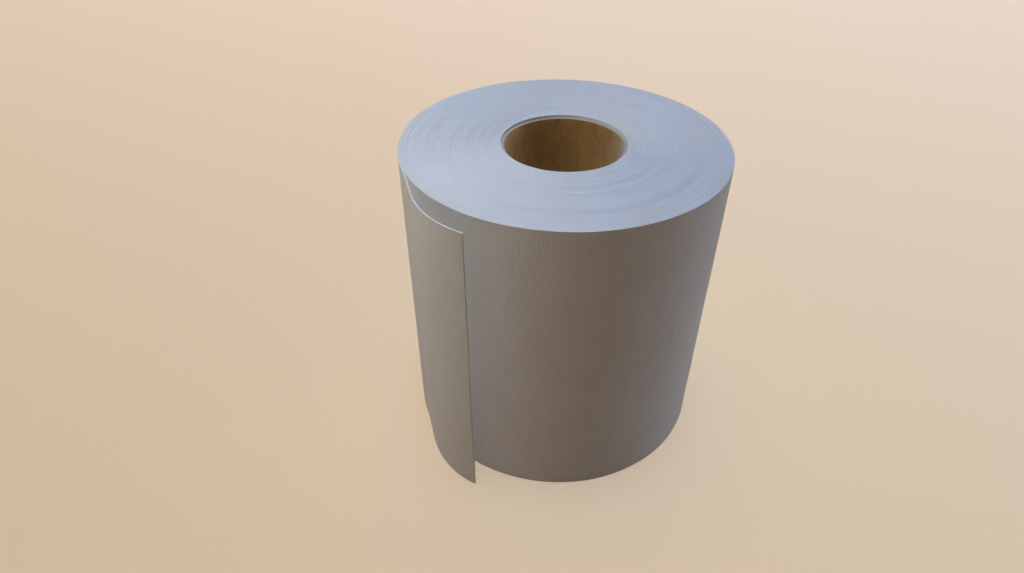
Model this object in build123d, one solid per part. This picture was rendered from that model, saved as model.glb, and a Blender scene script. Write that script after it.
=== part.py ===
from build123d import *
import os

# Toilet paper roll standing on one end, with the loose end of its sheet curling away from the side.
# Lengths are in millimetres and angles in degrees. +Z runs up the core's axis, and the origin is
# on that axis in the plane of the lower end face. Plan angles are counted from +X towards +Y.

# The paper: one long sheet of three soft plies, wound on the core
sheet_width = 100.0
sheet_thickness = 0.45
roll_radius = 49.8

# The core: a tube of greyboard, cut a little shorter than the sheet is wide
core_radius = 19.2
core_wall = 1.0
core_setback = 1.0

# The loose end: where it leaves the roll, the arc that lifts it off and the arc that it curls on
loose_end_angle = -154.6
lift_radius = 60.0
lift_turn = 10.0
curl_radius = 33.3
curl_turn = 49.4

# The turns that show on both end faces, as one V-shaped seam that winds in from the gap behind
# the loose end. Each turn of the seam stands for several turns of the sheet.
seam_turns = 8
seam_width = 0.6
seam_depth = 0.6
seam_lead = 6.0
glued_start = 1.6

UP = (0, 0, 1)
DOWN = (0, 0, -1)
QUARTER_TURN = 90
HALF_TURN = 180


def paper_section():
    """Plan of the wound sheet, with the place where the loose end leaves the roll on +X."""
    # The side of the roll steps out by one sheet in each turn, which two half circles share
    half_step = sheet_thickness / 2
    near_radius = roll_radius + half_step / 2
    near_half = JernArc((roll_radius, 0), (0, 1), near_radius, HALF_TURN)
    far_half = JernArc(near_half @ 1, near_half % 1, near_radius + half_step, HALF_TURN)

    # The outer face of the loose end, its cut edge, and its inner face back to the roll
    lift_outside = JernArc(far_half @ 1, far_half % 1, lift_radius, -lift_turn)
    curl_outside = JernArc(lift_outside @ 1, lift_outside % 1, curl_radius, curl_turn)
    edge_direction = (curl_outside % 1).rotate(Axis.Z, QUARTER_TURN)
    cut_edge = Line(curl_outside @ 1, curl_outside @ 1 + sheet_thickness * edge_direction)
    curl_inside = JernArc(cut_edge @ 1, -(curl_outside % 1), curl_radius - sheet_thickness, -curl_turn)
    lift_inside = JernArc(curl_inside @ 1, curl_inside % 1, lift_radius + sheet_thickness, lift_turn)

    outline = near_half + far_half + lift_outside + curl_outside + cut_edge + curl_inside + lift_inside
    return make_face(outline) - Circle(core_radius)


def upper_seam():
    """The V-shaped seam of the upper end face, as half circles whose centres swap sides of the axis."""
    pitch = (roll_radius - core_radius - glued_start) / seam_turns
    halves = []
    for half in range(2 * seam_turns):
        side = 1 if half % 2 == 0 else -1
        middle = side * (roll_radius - half * pitch / 2)
        # The V runs on above the face, where it is twice as wide
        root = (middle, 0, sheet_width - seam_depth)
        inner_lip = (middle - seam_width, 0, sheet_width + seam_depth)
        outer_lip = (middle + seam_width, 0, sheet_width + seam_depth)
        notch = make_face(Polyline(root, inner_lip, outer_lip, close=True))
        centre = (side * pitch / 4, 0, 0)
        halves.append(revolve(notch, Axis(centre, DOWN), HALF_TURN))
    return halves


def paper_roll():
    """The wound sheet and its loose end, one solid: an upper half with its seam, and its mirror image."""
    mid_height = Plane.XY.offset(sheet_width / 2)
    wound_half = extrude(mid_height * paper_section(), sheet_width / 2, dir=UP)
    upper_half = wound_half - [Rot(0, 0, seam_lead) * arc for arc in upper_seam()]
    whole = upper_half + mirror(upper_half, about=mid_height)
    return Rot(0, 0, loose_end_angle) * whole


def cardboard_core():
    """The tube, set back from both ends of the paper."""
    ring = Circle(core_radius) - Circle(core_radius - core_wall)
    return Pos(0, 0, core_setback) * extrude(ring, sheet_width - 2 * core_setback, dir=UP)


os.makedirs("parts", exist_ok=True)
export_step(paper_roll(), "parts/paper_roll.step")
export_step(cardboard_core(), "parts/cardboard_core.step")
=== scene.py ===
import math

import bmesh
import bpy
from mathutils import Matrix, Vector, noise


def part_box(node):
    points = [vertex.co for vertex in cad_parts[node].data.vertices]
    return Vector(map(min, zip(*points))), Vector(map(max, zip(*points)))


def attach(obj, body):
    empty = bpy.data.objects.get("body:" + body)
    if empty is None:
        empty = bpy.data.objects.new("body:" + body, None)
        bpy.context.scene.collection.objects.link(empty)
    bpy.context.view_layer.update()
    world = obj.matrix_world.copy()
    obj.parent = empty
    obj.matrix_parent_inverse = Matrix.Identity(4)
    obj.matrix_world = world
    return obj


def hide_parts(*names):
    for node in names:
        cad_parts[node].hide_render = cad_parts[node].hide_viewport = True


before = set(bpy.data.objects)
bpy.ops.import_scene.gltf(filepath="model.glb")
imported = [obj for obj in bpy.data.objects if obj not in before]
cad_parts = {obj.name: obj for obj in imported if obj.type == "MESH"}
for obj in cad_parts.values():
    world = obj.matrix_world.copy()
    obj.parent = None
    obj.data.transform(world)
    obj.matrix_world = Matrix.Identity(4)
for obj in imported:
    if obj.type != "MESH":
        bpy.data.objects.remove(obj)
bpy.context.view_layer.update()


# The cardboard core
# A tube of brown greyboard, made of a long strip wound on a slant, edge against edge, and glued.
# It is cut off a little shorter than the sheet is wide, so both of its lips lie inside the paper.

CORE_WALL = 0.0010
CORE_SIDES = 120
CORE_STEPS = 72
LIP_ROUNDING = 0.00018
JOINT_WIDTH = 0.0005
JOINT_DEPTH = 0.00018
JOINT_SLANT = math.radians(440)
TOUCHING = 1e-6
core_low, core_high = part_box("cardboard_core")
core_radius = core_high.x


def selected_points(piece, wanted):
    """Selects only the points of the open mesh for which wanted(place) is true."""
    shape = bmesh.from_edit_mesh(piece.data)
    for item in (*shape.faces, *shape.edges, *shape.verts):
        item.select = False
    for point in shape.verts:
        point.select = wanted(point.co)
    shape.select_flush(True)
    bmesh.update_edit_mesh(piece.data)


def core_tube():
    """Draws the tube up from a ring, folds it over its lips and turns its straight joint into a slant."""
    bpy.ops.object.select_all(action="DESELECT")
    bore = core_radius - CORE_WALL
    step = (core_high.z - core_low.z) / CORE_STEPS
    bpy.ops.mesh.primitive_circle_add(vertices=CORE_SIDES, radius=bore, location=(0, 0, core_low.z))
    tube = bpy.context.object
    tube.name = tube.data.name = "core_tube"
    bpy.ops.object.transform_apply(location=True, rotation=True, scale=True)
    bpy.ops.object.mode_set(mode="EDIT")
    bpy.ops.mesh.select_mode(type="VERT")
    bpy.ops.mesh.select_all(action="SELECT")
    for _ in range(CORE_STEPS):
        bpy.ops.mesh.extrude_region_move(TRANSFORM_OT_translate={"value": (0, 0, step)})
    wider = core_radius / bore
    bpy.ops.mesh.extrude_region_move(TRANSFORM_OT_translate={"value": (0, 0, 0)})
    bpy.ops.transform.resize(value=(wider, wider, 1), center_override=(0, 0, 0))
    for _ in range(CORE_STEPS):
        bpy.ops.mesh.extrude_region_move(TRANSFORM_OT_translate={"value": (0, 0, -step)})
    selected_points(tube, lambda place: abs(place.z - core_low.z) < step / 4)
    bpy.ops.mesh.bridge_edge_loops()

    # The strip's two edges meet in a fine V on the inside
    def on_joint(place):
        inside = math.hypot(place.x, place.y) < bore + CORE_WALL / 2
        return inside and place.x > 0 and abs(place.y) < TOUCHING

    bpy.ops.mesh.select_mode(type="EDGE")
    selected_points(tube, on_joint)
    bpy.ops.mesh.bevel(offset=JOINT_WIDTH / 2, offset_type="WIDTH", segments=2, profile=0.5)
    bpy.ops.mesh.select_mode(type="VERT")
    selected_points(tube, on_joint)
    bpy.ops.transform.translate(value=(JOINT_DEPTH, 0, 0))
    bpy.ops.mesh.select_all(action="SELECT")
    bpy.ops.mesh.remove_doubles(threshold=TOUCHING)
    bpy.ops.mesh.normals_make_consistent(inside=False)
    bpy.ops.object.mode_set(mode="OBJECT")

    rounding = tube.modifiers.new("lips", "BEVEL")
    rounding.width = LIP_ROUNDING
    rounding.segments = 3
    rounding.limit_method = "ANGLE"
    rounding.angle_limit = math.radians(60)
    bpy.ops.object.modifier_apply(modifier=rounding.name)
    slant = tube.modifiers.new("slant", "SIMPLE_DEFORM")
    slant.deform_method = "TWIST"
    slant.deform_axis = "Z"
    slant.angle = JOINT_SLANT
    bpy.ops.object.modifier_apply(modifier=slant.name)
    bpy.ops.object.shade_smooth_by_angle(angle=math.radians(50))
    return tube


class Finish:
    """A procedural material, put together node by node around one Principled shader."""

    def __init__(self, name, roughness, **values):
        self.material = bpy.data.materials.new(name)
        self.material.use_nodes = True
        self.tree = self.material.node_tree
        self.shader = self.tree.nodes["Principled BSDF"]
        self.shader.inputs["Roughness"].default_value = roughness
        for socket, value in values.items():
            self.shader.inputs[socket.replace("_", " ")].default_value = value

    def node(self, kind, **inputs):
        """Adds a node. A value is put on the socket of that name, or on that place when it is _0, _1 and
        so on, and another node's output is linked to it."""
        made = self.tree.nodes.new("ShaderNode" + kind)
        for name, value in inputs.items():
            place = int(name[1:]) if name[1:].isdigit() else name.replace("_", " ")
            socket = made.inputs[place]
            if isinstance(value, bpy.types.NodeSocket):
                self.tree.links.new(value, socket)
            else:
                socket.default_value = value
        return made

    def maths(self, operation, *values):
        """The result of one Math node."""
        made = self.node("Math", **{f"_{place}": value for place, value in enumerate(values)})
        made.operation = operation
        return made.outputs[0]

    def stretched(self, coordinates, scale):
        """Coordinates multiplied by a scale for each direction, in patterns for each metre."""
        return self.node("Mapping", Vector=coordinates, Scale=scale).outputs[0]

    def noise(self, vector, detail=3.0, roughness=0.5):
        """Noise between 0 and 1 with one feature for each unit of the vector."""
        made = self.node("TexNoise", Vector=vector, Scale=1.0, Detail=detail, Roughness=roughness)
        return made.outputs["Fac"]

    def between(self, share, low, high):
        """A value that goes from 0 to 1 as share goes from low to high."""
        made = self.node("MapRange", Value=share, From_Min=low, From_Max=high)
        made.interpolation_type = "SMOOTHSTEP"
        return made.outputs[0]

    def mixed(self, share, first, second):
        """A colour between two others."""
        made = self.node("MixRGB", _0=share, _1=first, _2=second)
        return made.outputs[0]

    def coloured(self, colour):
        self.tree.links.new(colour, self.shader.inputs["Base Color"])

    def raised(self, height, distance, below=None):
        """A bump of that height, over the bump below it."""
        made = self.node("Bump", Height=height, Distance=distance, Strength=1.0)
        if below is not None:
            self.tree.links.new(below, made.inputs["Normal"])
        return made.outputs[0]

    def finished(self, normal):
        self.tree.links.new(normal, self.shader.inputs["Normal"])
        return self.material


GREYBOARD = (0.35, 0.20, 0.048, 1)
GREYBOARD_DARK = (0.285, 0.15, 0.030, 1)
GREYBOARD_FLECK = (0.42, 0.28, 0.12, 1)
CUT_BOARD = (0.36, 0.32, 0.29, 1)
JOINT_PAINTED_SHADE = (0.110, 0.060, 0.020, 1)


def greyboard():
    """Brown board of recycled fibre: cloudy, flecked, with painted shade in its joint's groove and on its
    lips' rounding, and paler where it is cut.
    """
    board = Finish("greyboard", 0.60, Specular_IOR_Level=0.5, Sheen_Weight=0.90, Sheen_Roughness=0.45)
    place = board.node("TexCoord").outputs["Object"]
    clouds = board.noise(board.stretched(place, (260, 260, 110)), detail=4)
    flecks = board.noise(board.stretched(place, (1500, 1500, 600)), detail=2)
    specks = board.noise(board.stretched(place, (2100, 2100, 1700)), detail=1)
    brown = board.mixed(board.between(clouds, 0.32, 0.68), GREYBOARD_DARK, GREYBOARD)
    brown = board.mixed(board.between(flecks, 0.54, 0.78), brown, GREYBOARD_FLECK)
    brown = board.mixed(board.between(specks, 0.62, 0.80), brown, GREYBOARD_DARK)
    normal = board.node("SeparateXYZ", Vector=board.node("NewGeometry").outputs["Normal"])
    slope = board.maths("ABSOLUTE", normal.outputs["Z"])
    # Painted shade: faces tilted like the joint's groove and the first band of the lips' rounding are
    # darkened, as if in shadow
    brown = board.mixed(board.between(slope, 0.20, 0.40), brown, JOINT_PAINTED_SHADE)
    board.coloured(board.mixed(board.between(slope, 0.60, 0.90), brown, CUT_BOARD))
    felt = board.raised(board.noise(board.stretched(place, (1900, 1900, 1200)), detail=5), 0.00012)
    return board.finished(board.raised(clouds, 0.0003, felt))


core = core_tube()
core.data.materials.append(greyboard())
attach(core, "root")
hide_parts("cardboard_core")


# The wound paper
# One long sheet of three soft plies, slit to the roll's height and wound tight on the core. Nothing but
# its own friction holds the turns, and the last one is free: it lifts off the side and curls away.

TURNS = 68
ROLL_RADIUS = 0.0498
ROLL_HEIGHT = 0.1000
PLIES = (ROLL_RADIUS - core_radius) / TURNS

# The loose end's bends from the roll outwards, each as its length and its turn in radians for each metre
LEAVING_ANGLE = math.radians(-156.6)
LOOSE_BENDS = ((0.0020, 3.7), (0.0076, -12.4), (0.0079, 9.8), (0.0233, 32.0))
LOOSE_LENGTH = sum(length for length, bend in LOOSE_BENDS)
SHEET_LENGTH = 0.118
CUT_LENGTH, TIE_LENGTH = 0.0042, 0.0008
CUT_PITCH = CUT_LENGTH + TIE_LENGTH
FIRST_CUT = ROLL_HEIGHT + 0.002

# How far the turns stray from a true circle: in two, three, seven and eleven waves, and in one soft dent
OVAL, THREE_SIDED, SEVEN_WAVES, ELEVEN_WAVES = 0.00012, 0.00009, 0.00007, 0.00005
DENT_ANGLE, DENT_WIDTH, DENT_DEPTH = math.radians(-172), math.radians(12), 0.00030

# How far the edges stand out of an end face, in waves so many turns long, and how deep the gaps between go
BAND_LIFT, BAND_TURNS = 0.00005, 5.5
TURN_LIFT, TURN_TURNS = 0.00003, 1.3
SHORT_LIFT, SHORT_WAVES_A_TURN = 0.00002, 7.0
TIGHT_GAP, OPEN_GAP, LOOSE_GAP = 0.00006, 0.00003, 0.00011

# How far the outermost turn bulges and the loose end sways, with the lengths and heights of their waves
BULGE, BULGES_A_TURN, BULGE_HEIGHT = 0.00016, 9, 0.045
CRINKLE, CRINKLES_A_TURN, CRINKLE_HEIGHT = 0.00005, 40, 0.012
HELD_HEIGHT = 0.006
SWAY, SWAY_LENGTH, SWAY_HEIGHT = 0.00045, 0.05, 0.07
WAVER, WAVER_LENGTH, WAVER_HEIGHT = 0.00008, 0.01, 0.015

# The nibs that the ties leave on the torn edge, and its fray
NIB_LENGTH, NIB_SPREAD, NIB_PLACE, NIB_SHARE = 0.00016, 0.00008, 0.92, 0.05
FRAY, FRAY_HEIGHT = 0.00006, 0.002

# The skin's steps, and where its waves start
AROUND = 120
LOOSE_STEPS = 36
END_LEVEL = 0.00016
SHOULDER = 0.00004
EDGE_SHARES = (0.18, 0.5, 0.82, 1.0)
CUT_SHARES = (0.40, 0.84, 0.92, 1.0)
UPPER_END, LOWER_END, SIDE, LOOSE_END, TORN_EDGE = 1, 41, 60, 70, 80


def ease(share):
    """Goes smoothly from 0 to 1 as share does, and stays there."""
    share = min(max(share, 0.0), 1.0)
    return share * share * (3 - 2 * share)


def wander(seed, *place):
    """A smooth uneven wave from about -1 to 1, with about one wave for each unit."""
    along, across = (*place, 0.37)[:2]
    return 1.6 * noise.noise((along, across, 17.3 * seed + 0.21))


def edge_lift(turn, seed):
    """How far the sheet's edge stands out of the end face: bands of turns, single turns and short waves."""
    bands = BAND_LIFT * wander(seed, turn / BAND_TURNS)
    turns = TURN_LIFT * wander(seed + 1, turn / TURN_TURNS)
    return bands + turns + SHORT_LIFT * wander(seed + 2, turn * SHORT_WAVES_A_TURN)


def slack(turn, seed):
    """How deep the gap outside a turn goes: shallow where the turns are tight, and deeper where loose."""
    loose = ease(1.5 * wander(seed + 3, turn / 2.3) + 0.1 + 0.4 * wander(seed + 4, turn * 3.1))
    covered = ease((TURNS - 1.0 - turn) / 0.6)
    return TIGHT_GAP + covered * (OPEN_GAP + LOOSE_GAP * loose)


def out_of_round(radius, angle):
    """How far a turn strays from a true circle there. Nothing at the core, which holds its turns round."""
    share = (radius - core_radius) / (ROLL_RADIUS - core_radius)
    slow = OVAL * math.sin(2 * angle + 0.8 + share) + THREE_SIDED * math.sin(3 * angle + 2.1 - share)
    off_dent = math.remainder(angle - DENT_ANGLE, 2 * math.pi) / DENT_WIDTH
    pressed = DENT_DEPTH * math.exp(-(off_dent ** 2))
    quick = SEVEN_WAVES * math.sin(7 * angle + 5 * share) + ELEVEN_WAVES * math.sin(11 * angle - 9 * share)
    return ease(share) * (slow - pressed) + ease(4 * share) * ease(4 - 3.6 * share) * quick


def on_roll(radius, angle, height):
    radius += out_of_round(radius, angle)
    return radius * math.cos(angle), radius * math.sin(angle), height


def soft_side(turned, height):
    """How far the outermost turn bulges off the one below, at that share of a turn from the loose end."""
    ends = ease(height / HELD_HEIGHT) * ease((ROLL_HEIGHT - height) / HELD_HEIGHT)
    free = ease(8 * turned) * ease(8 - 8 * turned) * ends
    bulge = BULGE * wander(SIDE, BULGES_A_TURN * turned, height / BULGE_HEIGHT)
    return free * (bulge + CRINKLE * wander(SIDE + 1, CRINKLES_A_TURN * turned, height / CRINKLE_HEIGHT))


def arc(start, heading, bend, length):
    """Where a path ends that starts there and turns by bend radians for each metre, and its new heading."""
    after = heading + bend * length
    x = start[0] + (math.sin(after) - math.sin(heading)) / bend
    y = start[1] - (math.cos(after) - math.cos(heading)) / bend
    return (x, y), after


def loose_path(run):
    """The loose end's outer face, so far from where it leaves the roll, and which way it heads there."""
    place = on_roll(ROLL_RADIUS + PLIES, LEAVING_ANGLE, 0)
    heading = LEAVING_ANGLE + math.pi / 2
    for length, bend in LOOSE_BENDS[:-1]:
        place, heading = arc(place, heading, bend, min(run, length))
        run = max(run - length, 0.0)
    return arc(place, heading, LOOSE_BENDS[-1][1], run)


def end_edges(turned, first, seed):
    """Radii and depths over the sheet's edges on an end face, from the first turn to the outermost."""
    edges = []
    for turn in range(first, TURNS + 1):
        sheet = turn - 1 + turned
        inner = core_radius + PLIES * max(sheet, 0)
        outer = core_radius + PLIES * (sheet + 1)
        begun = min(turn + turned, 1.0)
        for share in EDGE_SHARES:
            drop = slack(sheet, seed) if share == 1 else SHOULDER * (share != 0.5)
            depth = END_LEVEL + begun * (drop - edge_lift(sheet, seed))
            edges.append((inner + (outer - inner) * share, depth))
    return edges


def side_heights():
    """Rows down the side: one near each end, and four for each cut of the perforation and its tie."""
    near = END_LEVEL + 0.0005
    rows = [ROLL_HEIGHT - near]
    for cut in range(round(ROLL_HEIGHT / CUT_PITCH) + 1):
        rows += [FIRST_CUT - (cut + share) * CUT_PITCH for share in CUT_SHARES]
    between = [row for row in rows[1:] if 3 * near < row < ROLL_HEIGHT - 3 * near]
    return [rows[0], *between, near]


class Skin:
    """A mesh that grows ring by ring. Its UV map is the distance from the free edge and the height."""

    def __init__(self):
        self.points, self.faces, self.map, self.finishes = [], [], [], []

    def point(self, x, y, z):
        self.points.append((x, y, z))
        return len(self.points) - 1

    def face(self, corners, runs, finish):
        """A face on those points, where a point named twice in a row is taken once."""
        kept = [at for at in range(len(corners)) if corners[at] != corners[at - 1]]
        if len(kept) > 2:
            self.faces.append([corners[at] for at in kept])
            self.map.extend((runs[at], self.points[corners[at]][2]) for at in kept)
            self.finishes.append(finish)

    def strip(self, ring, following, run, next_run, finishes):
        """Faces between one closed ring of points and the next."""
        for at in range(len(ring)):
            after = (at + 1) % len(ring)
            corners = (ring[at], ring[after], following[after], following[at])
            self.face(corners, (run, run, next_run, next_run), finishes[at])

    def piece(self, name):
        mesh = bpy.data.meshes.new(name)
        mesh.from_pydata(self.points, [], self.faces)
        mesh.polygons.foreach_set("material_index", self.finishes)
        layer = mesh.uv_layers.new(name="sheet")
        layer.data.foreach_set("uv", [number for place in self.map for number in place])
        mesh.update()
        made = bpy.data.objects.new(name, mesh)
        bpy.context.collection.objects.link(made)
        return made


FACE, CUT = 0, 1


def wound_sheet():
    """The whole sheet as one closed skin: the turns, then the loose end from the last column on."""
    skin = Skin()
    heights = side_heights()
    edges_on_end = 4 * (TURNS + 1) + 1
    hole_heights = [ROLL_HEIGHT * share for share in (0.02, 0.34, 0.66, 0.98)]
    finishes = [CUT] * (edges_on_end - 1) + [FACE] * (len(heights) + 1) + [CUT] * (edges_on_end - 1)
    finishes += [FACE] * (len(hole_heights) + 1)

    def point(radius, turned, height):
        return skin.point(*on_roll(radius, LEAVING_ANGLE + 2 * math.pi * turned, height))

    def column(turned, first):
        """New points of one column: the upper edges, the side, and the lower edges from the core out."""
        upper_edges = end_edges(turned, first, UPPER_END)
        upper = [point(radius, turned, ROLL_HEIGHT - depth) for radius, depth in upper_edges]
        side = []
        for height in heights:
            radius = ROLL_RADIUS + PLIES * turned + soft_side(turned, height)
            side.append(point(radius, turned, height))
        lower = [point(radius, turned, depth) for radius, depth in end_edges(turned, first, LOWER_END)]
        return upper, side, lower

    def hole(turned):
        """New points of one column of the hole: one on each end face, then the wall between."""
        ends = [point(core_radius, turned, height) for height in (ROLL_HEIGHT - END_LEVEL, END_LEVEL)]
        return ends, [point(core_radius, turned, height) for height in hole_heights]

    columns = []
    for step in range(AROUND):
        ends, wall = hole(step / AROUND)
        upper, side, lower = column(step / AROUND, 0 if step else 1)
        collapsed = 1 if step else 5
        columns.append(([ends[0]] * collapsed + upper, side, [ends[1]] * collapsed + lower, wall))
    first_upper, first_side, first_lower, first_wall = columns[0]
    last_upper, last_side, last_lower = column(1.0, TURNS)
    columns.append((first_upper[4:] + last_upper, last_side, first_lower[4:] + last_lower, first_wall))
    around = 2 * math.pi * (ROLL_RADIUS + PLIES / 2)
    rings = [upper + side + lower[::-1] + wall for upper, side, lower, wall in columns]
    for step in range(AROUND):
        run, next_run = (LOOSE_LENGTH + around * (1 - at / AROUND) for at in (step, step + 1))
        skin.strip(rings[step], rings[step + 1], run, next_run, finishes)

    # The loose end, whose outer face goes on from the last column and its inner face from the first
    across = (0.0, *EDGE_SHARES)
    ring = columns[-1][0][-5:] + last_side + columns[-1][2][-5:][::-1] + first_side[::-1]
    finishes = [CUT] * 4 + [FACE] * (len(heights) + 1) + [CUT] * 4 + [FACE] * (len(heights) + 1)
    for step in range(1, LOOSE_STEPS + 1):
        run = LOOSE_LENGTH * step / LOOSE_STEPS
        sheet = TURNS + run / around

        def at(share, height, torn=0.0):
            (x, y), heading = loose_path(run + torn)
            sway = SWAY * wander(LOOSE_END, run / SWAY_LENGTH, height / SWAY_HEIGHT)
            waver = WAVER * wander(LOOSE_END + 1, run / WAVER_LENGTH, height / WAVER_HEIGHT)
            off = ease(run / LOOSE_LENGTH) * (sway + waver) - (1 - share) * PLIES
            return skin.point(x + off * math.sin(heading), y - off * math.cos(heading), height)

        def edges(seed):
            drops = (slack(sheet, seed), SHOULDER, 0, SHOULDER, slack(sheet, seed))
            return [END_LEVEL + drop - edge_lift(sheet, seed) for drop in drops]

        def torn(height):
            """Each tie of the perforation leaves a nib of fibres on the free edge."""
            if step < LOOSE_STEPS:
                return 0.0
            cut = (FIRST_CUT - height) / CUT_PITCH
            nib = NIB_LENGTH + NIB_SPREAD * wander(TORN_EDGE, round(cut) * 1.7 + 0.5)
            fray = FRAY * wander(TORN_EDGE + 1, height / FRAY_HEIGHT)
            return nib * ease(1 - abs(cut - math.floor(cut) - NIB_PLACE) / NIB_SHARE) + fray

        upper = [at(share, ROLL_HEIGHT - depth) for share, depth in zip(across, edges(UPPER_END))]
        outer = [at(1.0, height, torn(height)) for height in heights]
        lower = [at(share, depth) for share, depth in zip(across, edges(LOWER_END))]
        inner = [at(0.0, height, torn(height)) for height in heights]
        following = upper + outer + lower[::-1] + inner[::-1]
        start = LOOSE_LENGTH - LOOSE_LENGTH * (step - 1) / LOOSE_STEPS
        skin.strip(ring, following, start, LOOSE_LENGTH - run, finishes)
        ring = following
    for row in range(len(heights) - 1):
        skin.face((outer[row], outer[row + 1], inner[row + 1], inner[row]), (0, 0, 0, 0), CUT)
    skin.face((*upper, outer[0], inner[0]), (0,) * 7, CUT)
    skin.face((outer[-1], *lower[::-1], inner[-1]), (0,) * 7, CUT)
    return skin.piece("wound_tissue")


TISSUE = (0.625, 0.650, 0.690, 1)
TISSUE_THIN = (0.594, 0.620, 0.664, 1)
TISSUE_CUT = (0.646, 0.670, 0.709, 1)
SLIT_PAINTED_SHADE = (0.30, 0.31, 0.34, 1)
SLIT_EDGE, SLIT_SOFTNESS = 0.00006, 0.00022
CREASE_WIDTH = 0.0012


def tissue():
    """Soft white tissue: cloudy where the fibres lie thick or thin, and creped in fine upright ridges."""
    sheet = Finish("creped_tissue", 0.92, Specular_IOR_Level=0.2, Sheen_Weight=0.12, Sheen_Roughness=0.6)
    place = sheet.node("UVMap").outputs["UV"]
    clouds = sheet.noise(sheet.stretched(place, (130, 90, 1)), detail=4, roughness=0.6)
    crepe = sheet.noise(sheet.stretched(place, (2300, 330, 1)), detail=3, roughness=0.55)
    fibres = sheet.noise(sheet.stretched(place, (5200, 4300, 1)), detail=2)
    run, height, _ = sheet.node("SeparateXYZ", Vector=place).outputs

    # A row of cuts across the sheet at every sheet's length from the free edge
    sheets = sheet.maths("DIVIDE", run, SHEET_LENGTH)
    nearest = sheet.maths("ABSOLUTE", sheet.maths("SUBTRACT", sheets, sheet.maths("ROUND", sheets)))
    off_line = sheet.maths("MULTIPLY", nearest, SHEET_LENGTH)
    cut = sheet.maths("DIVIDE", sheet.maths("SUBTRACT", FIRST_CUT, height), CUT_PITCH)
    in_cut = sheet.maths("LESS_THAN", sheet.maths("FRACT", cut), CUT_LENGTH / CUT_PITCH)
    on_line = sheet.maths("SUBTRACT", 1.0, sheet.between(off_line, SLIT_EDGE, SLIT_SOFTNESS))
    past_edge = sheet.maths("GREATER_THAN", run, SHEET_LENGTH / 2)
    slit = sheet.maths("MULTIPLY", sheet.maths("MULTIPLY", on_line, in_cut), past_edge)
    beside_line = sheet.maths("SUBTRACT", 1.0, sheet.between(off_line, 0.0, CREASE_WIDTH))
    crease = sheet.maths("MULTIPLY", beside_line, past_edge)

    white = sheet.mixed(sheet.between(clouds, 0.3, 0.7), TISSUE_THIN, TISSUE)
    # Painted shade: the perforation's cuts are coloured dark grey, for the shadow inside them
    sheet.coloured(sheet.mixed(slit, white, SLIT_PAINTED_SHADE))
    soft = sheet.raised(clouds, 0.00035)
    creped = sheet.raised(crepe, 0.00016, soft)
    fluffed = sheet.raised(fibres, 0.00005, creped)
    creased = sheet.raised(sheet.maths("MULTIPLY", crease, -1.0), 0.00010, fluffed)
    return sheet.finished(sheet.raised(sheet.maths("MULTIPLY", slit, -1.0), 0.00012, creased))


def cut_tissue():
    """The slit edges of the turns, which fray into a short nap of fibres."""
    edge = Finish("tissue_edges", 0.95, Specular_IOR_Level=0.15, Sheen_Weight=0.08, Sheen_Roughness=0.7)
    place = edge.node("TexCoord").outputs["Object"]
    clouds = edge.noise(edge.stretched(place, (160, 160, 160)), detail=3)
    nap = edge.noise(edge.stretched(place, (2800, 2800, 2800)), detail=4, roughness=0.6)
    edge.coloured(edge.mixed(edge.between(clouds, 0.3, 0.7), TISSUE, TISSUE_CUT))
    return edge.finished(edge.raised(nap, 0.00014, edge.raised(clouds, 0.0003)))


paper = wound_sheet()
paper.data.materials.append(tissue())
paper.data.materials.append(cut_tissue())
bpy.ops.object.select_all(action="DESELECT")
bpy.context.view_layer.objects.active = paper
paper.select_set(True)
bpy.ops.object.shade_smooth_by_angle(angle=math.radians(50))
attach(paper, "root")
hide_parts("paper_roll")


# The studio
# A pale peach floor that is flat under the roll and sweeps up all round, far from it. A wide cool light
# comes from above and a soft one from the right, a near lamp stands on the left, and a faint warm one
# reaches the paper from low on the left. The core and the floor have a lamp of their own.

FLOOR_FLAT, FLOOR_WIDE, FLOOR_HIGH, FLOOR_STEPS = 2.4, 4.0, 1.8, 10
PEACH_PAINT = (0.70, 0.50, 0.24, 1)
GLOW_NEAR = (0.352, 0.262, 0.170, 1)
GLOW_FAR = (0.555, 0.447, 0.366, 1)
GLOW_RIGHT = (0.63, 0.68, 0.74, 1)
GLOW_REACH = 0.7
GLOW_AWAY = (-0.085, 0.43)
GLOW_ACROSS = (-0.375, 0.44)
GLOW_RIGHT_SHARE = 0.326


def studio_floor():
    """Draws the flat floor out and up from its rim, along a quarter of an ellipse."""
    bpy.ops.object.select_all(action="DESELECT")
    bpy.ops.mesh.primitive_circle_add(vertices=128, radius=FLOOR_FLAT, fill_type="NGON", location=(0, 0, 0))
    floor = bpy.context.object
    floor.name = floor.data.name = "studio_floor"
    bpy.ops.object.mode_set(mode="EDIT")
    bpy.ops.mesh.select_mode(type="EDGE")
    bpy.ops.mesh.select_all(action="SELECT")
    bpy.ops.mesh.region_to_loop()
    radius = FLOOR_FLAT
    for step in range(1, FLOOR_STEPS + 1):
        turn = math.pi / 2 * step / FLOOR_STEPS
        before = math.pi / 2 * (step - 1) / FLOOR_STEPS
        wider = FLOOR_FLAT + (FLOOR_WIDE - FLOOR_FLAT) * math.sin(turn)
        rise = FLOOR_HIGH * (math.cos(before) - math.cos(turn))
        bpy.ops.mesh.extrude_region_move(TRANSFORM_OT_translate={"value": (0, 0, rise)})
        bpy.ops.transform.resize(value=(wider / radius, wider / radius, 1), center_override=(0, 0, 0))
        radius = wider
    bpy.ops.mesh.select_all(action="SELECT")
    bpy.ops.mesh.normals_make_consistent(inside=True)
    bpy.ops.object.mode_set(mode="OBJECT")
    bpy.ops.object.shade_smooth_by_angle(angle=math.radians(30))
    return floor


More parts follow.
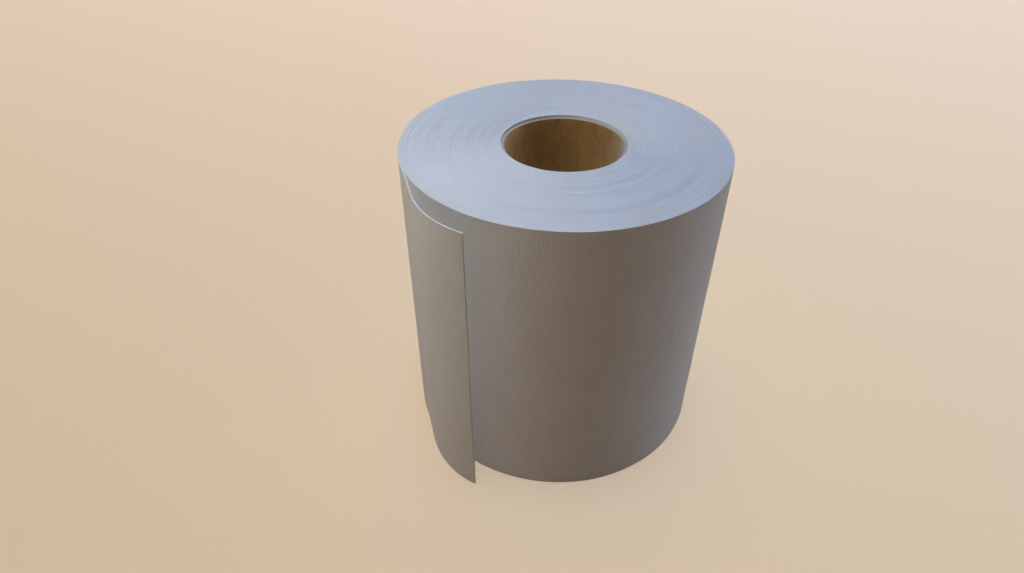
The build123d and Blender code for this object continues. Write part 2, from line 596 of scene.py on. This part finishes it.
def peach_paint():
    """Matt paint under a pale glow that lights nothing, because only straight and mirrored views see it."""
    paint = Finish("peach_paint", 0.95, Specular_IOR_Level=0.0, Base_Color=PEACH_PAINT)

    # The glow changes across the floor, ever more slowly with the distance from the roll
    place = paint.node("TexCoord").outputs["Object"]
    distance = paint.node("VectorMath", _0=place)
    distance.operation = "LENGTH"
    reach = paint.maths("DIVIDE", distance.outputs["Value"], GLOW_REACH)
    slower = paint.maths("INVERSE_SQRT", paint.maths("MULTIPLY_ADD", reach, reach, 1.0))
    drawn_in = paint.node("VectorMath", _0=place)
    drawn_in.operation = "SCALE"
    paint.tree.links.new(slower, drawn_in.inputs["Scale"])
    x, y, _ = paint.node("SeparateXYZ", Vector=drawn_in.outputs["Vector"]).outputs
    away = paint.node("MapRange", Value=y, From_Min=GLOW_AWAY[0], From_Max=GLOW_AWAY[1]).outputs[0]
    across = paint.node("MapRange", Value=x, From_Min=GLOW_ACROSS[0], From_Max=GLOW_ACROSS[1])
    across.inputs["To Max"].default_value = GLOW_RIGHT_SHARE
    right = across.outputs[0]
    glow = paint.mixed(right, paint.mixed(away, GLOW_NEAR, GLOW_FAR), GLOW_RIGHT)
    path = paint.node("LightPath").outputs
    seen = paint.maths("MAXIMUM", path["Is Camera Ray"], path["Is Glossy Ray"])
    seen = paint.maths("MAXIMUM", seen, path["Is Transmission Ray"])
    paint.tree.links.new(glow, paint.shader.inputs["Emission Color"])
    paint.tree.links.new(seen, paint.shader.inputs["Emission Strength"])
    paint.material.cycles.emission_sampling = "NONE"
    return paint.material


floor = studio_floor()
floor.data.materials.append(peach_paint())


def lamp(name, kind, place, energy, colour, shadow):
    """Puts a light there, or in that direction when it is a far one, facing the origin."""
    light = bpy.data.lights.new(name, kind)
    light.energy = energy
    light.color = colour
    light.use_shadow = shadow
    held = bpy.data.objects.new(name, light)
    held.location = place
    held.rotation_euler = Vector(place).to_track_quat("Z", "Y").to_euler()
    bpy.context.collection.objects.link(held)
    return held


def group(name, *pieces):
    """The pieces that a lamp is for."""
    made = bpy.data.collections.new(name)
    for piece in pieces:
        made.objects.link(piece)
    return made


roll_alone = group("roll_alone", paper, core)
paper_alone = group("paper_alone", paper)
core_alone = group("core_alone", core)
floor_alone = group("floor_alone", floor)

above = lamp("above", "SUN", (0, 0, 1), 1.17, (0.26, 0.475, 1.0), True)
above.data.angle = math.radians(16)
right_fill = lamp("right_fill", "SUN", (0.906, 0.423, 0.09), 0.98, (0.79, 0.855, 1.0), True)
right_fill.data.angle = math.radians(30)
right_fill.light_linking.receiver_collection = roll_alone
right_fill.light_linking.blocker_collection = roll_alone
core_fill = lamp("core_fill", "AREA", (0.362, 0.169, 0.086), 0.43, (1.0, 0.87, 0.42), False)
core_fill.light_linking.receiver_collection = core_alone
low_left = lamp("low_left", "SUN", (-0.749, -0.629, -0.208), 0.235, (1.0, 0.58, 0.42), False)
low_left.light_linking.receiver_collection = paper_alone
floor_lamp = lamp("floor_lamp", "SUN", (-0.10, 0.08, 1.0), 0.56, (1.0, 0.76, 0.55), True)
floor_lamp.data.angle = math.radians(40)
floor_lamp.light_linking.receiver_collection = floor_alone
left_lamp = lamp("left_lamp", "AREA", (-0.16, -0.064, 0.346), 0.504, (1.0, 0.995, 0.845), False)
left_lamp.data.shape, left_lamp.data.size = "DISK", 0.10
left_lamp.light_linking.receiver_collection = roll_alone

sky = bpy.data.worlds.new("studio_air")
sky.use_nodes = True
sky.node_tree.nodes["Background"].inputs["Color"].default_value = (1.0, 0.83, 0.67, 1)
sky.node_tree.nodes["Background"].inputs["Strength"].default_value = 0.06
bpy.context.scene.world = sky


# The camera
# It stands straight in front of the roll and looks down on it by 38 degrees. It is turned a little to
# the left, so that the roll lies right of the middle of the picture.

view = bpy.data.cameras.new("front_camera")
view.lens = 24.32
view.sensor_width = 36.0
view.sensor_fit = "HORIZONTAL"
view.clip_start = 0.01
camera = bpy.data.objects.new("front_camera", view)
camera.location = (0.00011, -0.19291, 0.19334)
camera.rotation_euler = (math.radians(52.22), 0, math.radians(4.71))
bpy.context.collection.objects.link(camera)
bpy.context.scene.camera = camera
bpy.context.scene.view_settings.view_transform = "Standard"
